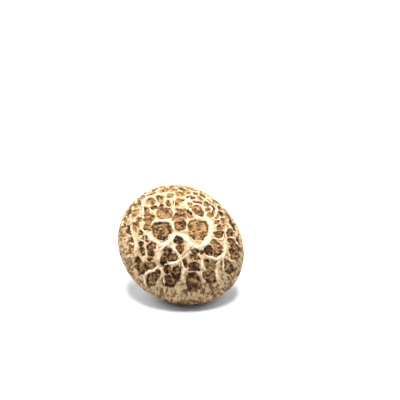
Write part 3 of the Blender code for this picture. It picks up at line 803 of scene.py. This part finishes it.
def new_group(name, inputs, outputs):
    """An empty shader node group with sockets in and out, each given as its name and its kind."""
    group = bpy.data.node_groups.new(name, "ShaderNodeTree")
    for way, sockets in (("INPUT", inputs), ("OUTPUT", outputs)):
        for socket, kind in sockets:
            group.interface.new_socket(socket, in_out=way, socket_type="NodeSocket" + kind)
    return group, group.nodes.new("NodeGroupInput"), group.nodes.new("NodeGroupOutput")


def add_node(tree, kind, settings=(), values=()):
    """A shader node with its settings and its unlinked values."""
    node = tree.nodes.new("ShaderNode" + kind)
    for key, value in dict(settings).items():
        setattr(node, key, value)
    for key, value in dict(values).items():
        node.inputs[key].default_value = value
    return node


def mottle_group():
    """Flesh mottle: soft blotches and fine grain, as a factor that shifts a colour and as a height."""
    group, inlet, outlet = new_group(
        "Flesh_Mottle", (("Color", "Color"), ("Blotch", "Float"), ("Grain", "Float")),
        (("Color", "Color"), ("Height", "Float"), ("Roughness", "Float")))
    place = add_node(group, "TexCoord")
    links = group.links
    colour = inlet.outputs["Color"]
    for amount, scale, detail, rough in (("Blotch", 330.0, 4.0, 0.6), ("Grain", 1900.0, 3.0, 0.65)):
        texture = add_node(group, "TexNoise", values={"Scale": scale, "Detail": detail, "Roughness": rough})
        links.new(place.outputs["Object"], texture.inputs["Vector"])
        span = add_node(group, "MapRange", values={
            "From Min": 0.3, "From Max": 0.7, "To Min": -1.0, "To Max": 1.0})
        links.new(texture.outputs["Fac"], span.inputs["Value"])
        strength = add_node(group, "Math", {"operation": "MULTIPLY_ADD"}, {2: 1.0})
        links.new(span.outputs["Result"], strength.inputs[0])
        links.new(inlet.outputs[amount], strength.inputs[1])
        tint = add_node(group, "VectorMath", {"operation": "SCALE"})
        links.new(colour, tint.inputs[0])
        links.new(strength.outputs[0], tint.inputs["Scale"])
        colour = tint.outputs[0]
    links.new(colour, outlet.inputs["Color"])
    links.new(texture.outputs["Fac"], outlet.inputs["Height"])
    rough = add_node(group, "MapRange", values={
        "From Min": -1.0, "From Max": 1.0, "To Min": 0.62, "To Max": 0.84})
    links.new(span.outputs["Result"], rough.inputs["Value"])
    links.new(rough.outputs["Result"], outlet.inputs["Roughness"])
    return group


def fibre_group():
    """Fibres: noise in a space that is stretched along the fibres, as a mask with soft contrast."""
    group, inlet, outlet = new_group(
        "Radial_Fibres", (("Scale", "Float"),), (("Mask", "Float"), ("Height", "Float")))
    space = add_node(group, "Attribute", {"attribute_name": "fibre_space"})
    streak = add_node(group, "TexNoise", values={"Detail": 4.0, "Roughness": 0.6})
    group.links.new(space.outputs["Vector"], streak.inputs["Vector"])
    group.links.new(inlet.outputs["Scale"], streak.inputs["Scale"])
    span = add_node(group, "MapRange", values={"From Min": 0.36, "From Max": 0.66})
    group.links.new(streak.outputs["Fac"], span.inputs["Value"])
    group.links.new(span.outputs["Result"], outlet.inputs["Mask"])
    group.links.new(streak.outputs["Fac"], outlet.inputs["Height"])
    return group


class Finish:
    """A material being built: a Principled shader with helpers that mix colours by masks."""

    def __init__(self, name, roughness, soft):
        self.material = bpy.data.materials.new(name)
        self.material.use_nodes = True
        self.tree = self.material.node_tree
        self.shader = self.tree.nodes["Principled BSDF"]
        values = {"Roughness": roughness, "Specular IOR Level": 0.15, "Subsurface Weight": soft,
                  "Subsurface Radius": (1.0, 0.6, 0.35), "Subsurface Scale": 0.0012}
        for socket, value in values.items():
            self.shader.inputs[socket].default_value = value

    def put(self, value, socket):
        """Sets a socket to a number or a colour, or links it to another node's socket."""
        if isinstance(value, float):
            socket.default_value = value
        elif isinstance(value, tuple):
            socket.default_value = (*value, 1.0)
        else:
            self.tree.links.new(value, socket)

    def mask(self, name):
        """A mask that the mesh carries."""
        return add_node(self.tree, "Attribute", {"attribute_name": name}).outputs["Fac"]

    def group(self, group, **values):
        """A node that uses a shared group, with its values."""
        return add_node(self.tree, "Group", {"node_tree": group}, values)

    def ramp(self, mask, low, high, first=0.0, last=1.0):
        """The mask spread so that low gives the first value and high gives the last."""
        span = add_node(self.tree, "MapRange", values={
            "From Min": low, "From Max": high, "To Min": first, "To Max": last})
        self.put(mask, span.inputs["Value"])
        return span.outputs["Result"]

    def maths(self, first, second, operation="MULTIPLY"):
        """The product of two values, or their sum."""
        node = add_node(self.tree, "Math", {"operation": operation})
        self.put(first, node.inputs[0])
        self.put(second, node.inputs[1])
        return node.outputs[0]

    def mix(self, mask, first, second):
        """The first colour where the mask is 0 and the second where it is 1."""
        node = add_node(self.tree, "Mix", {"data_type": "RGBA"})
        self.put(mask, node.inputs["Factor"])
        self.put(first, node.inputs[6])
        self.put(second, node.inputs[7])
        return node.outputs[2]

    def finish(self, colour, mottle, height, distance):
        """The material, with its colour mottled and a bump of a height in metres."""
        self.put(colour, mottle.inputs["Color"])
        self.put(mottle.outputs["Color"], self.shader.inputs["Base Color"])
        self.put(mottle.outputs["Roughness"], self.shader.inputs["Roughness"])
        bump = add_node(self.tree, "Bump", values={"Strength": 0.5, "Distance": distance})
        self.put(height, bump.inputs["Height"])
        self.put(bump.outputs["Normal"], self.shader.inputs["Normal"])
        return self.material


def skin_material(mottle, fibres):
    """Cream net with a painted highlight along its ridges' crests and painted shade in its splits, tan
    scales with painted shade in their creases, pits, cracks and slits, and a flecked tan margin with
    fibres whose lip is darker, partly its own brown and partly painted shade.
    """
    skin = Finish("Mushroom_Skin", 0.75, 0.04)
    grain = skin.group(mottle, Blotch=0.16, Grain=0.34)
    streaks = skin.group(fibres, Scale=1.25).outputs["Mask"]
    ground = skin.mix(skin.mask("open"), (0.36, 0.21, 0.09), (0.47, 0.335, 0.18))
    # The ridge mask's cream includes a painted highlight along the crests.
    net = skin.mix(skin.mask("ridge"), ground, (0.86, 0.71, 0.52))
    scale = skin.mix(skin.mask("brown"), (0.35, 0.20, 0.078), (0.060, 0.026, 0.008))
    colour = skin.mix(skin.mask("scale"), net, scale)
    rim = skin.mix(streaks, (0.19, 0.10, 0.038), (0.41, 0.27, 0.135))
    colour = skin.mix(skin.maths(skin.mask("margin"), 0.85), colour, rim)
    colour = skin.mix(skin.maths(skin.mask("pale"), 0.55), colour, (0.60, 0.45, 0.27))
    speck = skin.ramp(grain.outputs["Height"], 0.40, 0.60, -0.32, 0.32)
    spotted = skin.ramp(skin.maths(skin.mask("fleck"), speck, "ADD"), 0.42, 0.92)
    colour = skin.mix(skin.maths(spotted, 0.90), colour, (0.10, 0.043, 0.013))
    # Near-black painted shade in the scales' creases, pits, cracks and slits.
    colour = skin.mix(skin.ramp(skin.mask("fold_shade"), 0.05, 0.95), colour, (0.035, 0.014, 0.006))
    # Painted shade in the net's splits.
    colour = skin.mix(skin.mask("split"), colour, (0.10, 0.045, 0.02))
    # Darker brown at the lip: partly the rim's own brown, partly painted shade where the rim curves under.
    lip = skin.mix(streaks, (0.13, 0.065, 0.028), (0.31, 0.185, 0.09))
    colour = skin.mix(skin.mask("lip"), colour, lip)
    flesh = skin.mix(streaks, (0.72, 0.58, 0.38), (0.86, 0.76, 0.57))
    inner = skin.maths(skin.mask("inner"), skin.ramp(skin.mask("lip"), 0.6, 0.1))
    colour = skin.mix(inner, colour, flesh)
    return skin.finish(colour, grain, grain.outputs["Height"], 0.0003)


def gill_material(mottle):
    """Cream blades with painted shade that makes them darker and warmer towards their roots."""
    gill = Finish("Mushroom_Gill", 0.7, 0.05)
    grain = gill.group(mottle, Blotch=0.14, Grain=0.06)
    body = gill.mix(gill.mask("shade"), (0.66, 0.52, 0.31), (0.84, 0.73, 0.51))
    # Painted shade: the root colour darkens each blade towards the flesh, between the blades.
    colour = gill.mix(gill.ramp(gill.mask("edge"), 0.0, 0.85), (0.30, 0.19, 0.085), body)
    return gill.finish(colour, grain, grain.outputs["Height"], 0.0001)


def stem_material(mottle, fibres):
    """Golden-tan fibrous stem, cream near the gills and on the cut end, with darker torn flakes."""
    stem = Finish("Mushroom_Stem", 0.75, 0.15)
    grain = stem.group(mottle, Blotch=0.16, Grain=0.08)
    streak = stem.group(fibres, Scale=1.5)
    streaks = streak.outputs["Mask"]
    body = stem.mix(streaks, (0.47, 0.28, 0.13), (0.72, 0.53, 0.31))
    pale = stem.mix(streaks, (0.74, 0.58, 0.37), (0.86, 0.75, 0.54))
    colour = stem.mix(stem.ramp(stem.mask("share"), 0.12, 0.5), pale, body)
    colour = stem.mix(stem.maths(stem.mask("flake"), 0.60), colour, (0.30, 0.165, 0.07))
    pith = stem.mix(streaks, (0.56, 0.44, 0.27), (0.74, 0.63, 0.44))
    colour = stem.mix(stem.mask("cut"), colour, pith)
    return stem.finish(colour, grain, streak.outputs["Height"], 0.0003)


def make_floor():
    """A wide plain pale floor that the mushroom lies on."""
    half = 4.0
    mesh = bpy.data.meshes.new("floor")
    corners = [(-half, -half, 0), (half, -half, 0), (half, half, 0), (-half, half, 0)]
    mesh.from_pydata(corners, [], [(0, 1, 2, 3)])
    material = bpy.data.materials.new("Pale_Floor")
    material.use_nodes = True
    shader = material.node_tree.nodes["Principled BSDF"]
    shader.inputs["Base Color"].default_value = (0.85, 0.90, 0.98, 1.0)
    shader.inputs["Roughness"].default_value = 0.65
    mesh.materials.append(material)
    floor = bpy.data.objects.new("floor", mesh)
    bpy.context.scene.collection.objects.link(floor)


def light_scene():
    """Soft light from above, slightly behind, weaker light from both sides, and a pale sky."""
    for name, place, side, power in LIGHTS:
        data = bpy.data.lights.new(name, "AREA")
        data.size = side
        data.energy = power
        data.color = LIGHT_COLOUR
        light = bpy.data.objects.new(name, data)
        light.location = place
        light.rotation_euler = (Vector(LIGHT_TARGET) - Vector(place)).to_track_quat("-Z", "Y").to_euler()
        bpy.context.scene.collection.objects.link(light)
    world = bpy.data.worlds.new("Pale_Sky")
    world.use_nodes = True
    sky = world.node_tree.nodes["Background"]
    sky.inputs["Color"].default_value = (0.78, 0.87, 1.0, 1.0)
    sky.inputs["Strength"].default_value = 0.20
    bpy.context.scene.world = world
    bpy.context.scene.view_settings.view_transform = "Standard"


def make_camera():
    """The camera at the picture's angle: it looks down by the elevation, at a point beside the cap."""
    data = bpy.data.cameras.new("camera")
    data.sensor_width = SENSOR
    data.lens = DISTANCE * PIXELS_PER_MM * SENSOR / PICTURE
    data.clip_start, data.clip_end = 0.01, 20.0
    c, s = math.cos(ELEVATION), math.sin(ELEVATION)
    right, up, ahead = (np.array(axis) for axis in ((1.0, 0.0, 0.0), (0.0, s, c), (0.0, c, -s)))
    place = (CAP_CENTRE + AIM_RIGHT * right + AIM_UP * up - DISTANCE * ahead) * MM
    camera = bpy.data.objects.new("camera", data)
    turn = Matrix.Rotation(math.pi / 2 - ELEVATION, 4, "X")
    camera.matrix_world = Matrix.Translation(Vector(place)) @ turn
    bpy.context.scene.collection.objects.link(camera)
    bpy.context.scene.camera = camera


def main():
    make_camera()
    make_floor()
    light_scene()
    mottle, fibres = mottle_group(), fibre_group()
    make_cap(skin_material(mottle, fibres))
    make_gills(gill_material(mottle))
    make_stem(stem_material(mottle, fibres))


main()
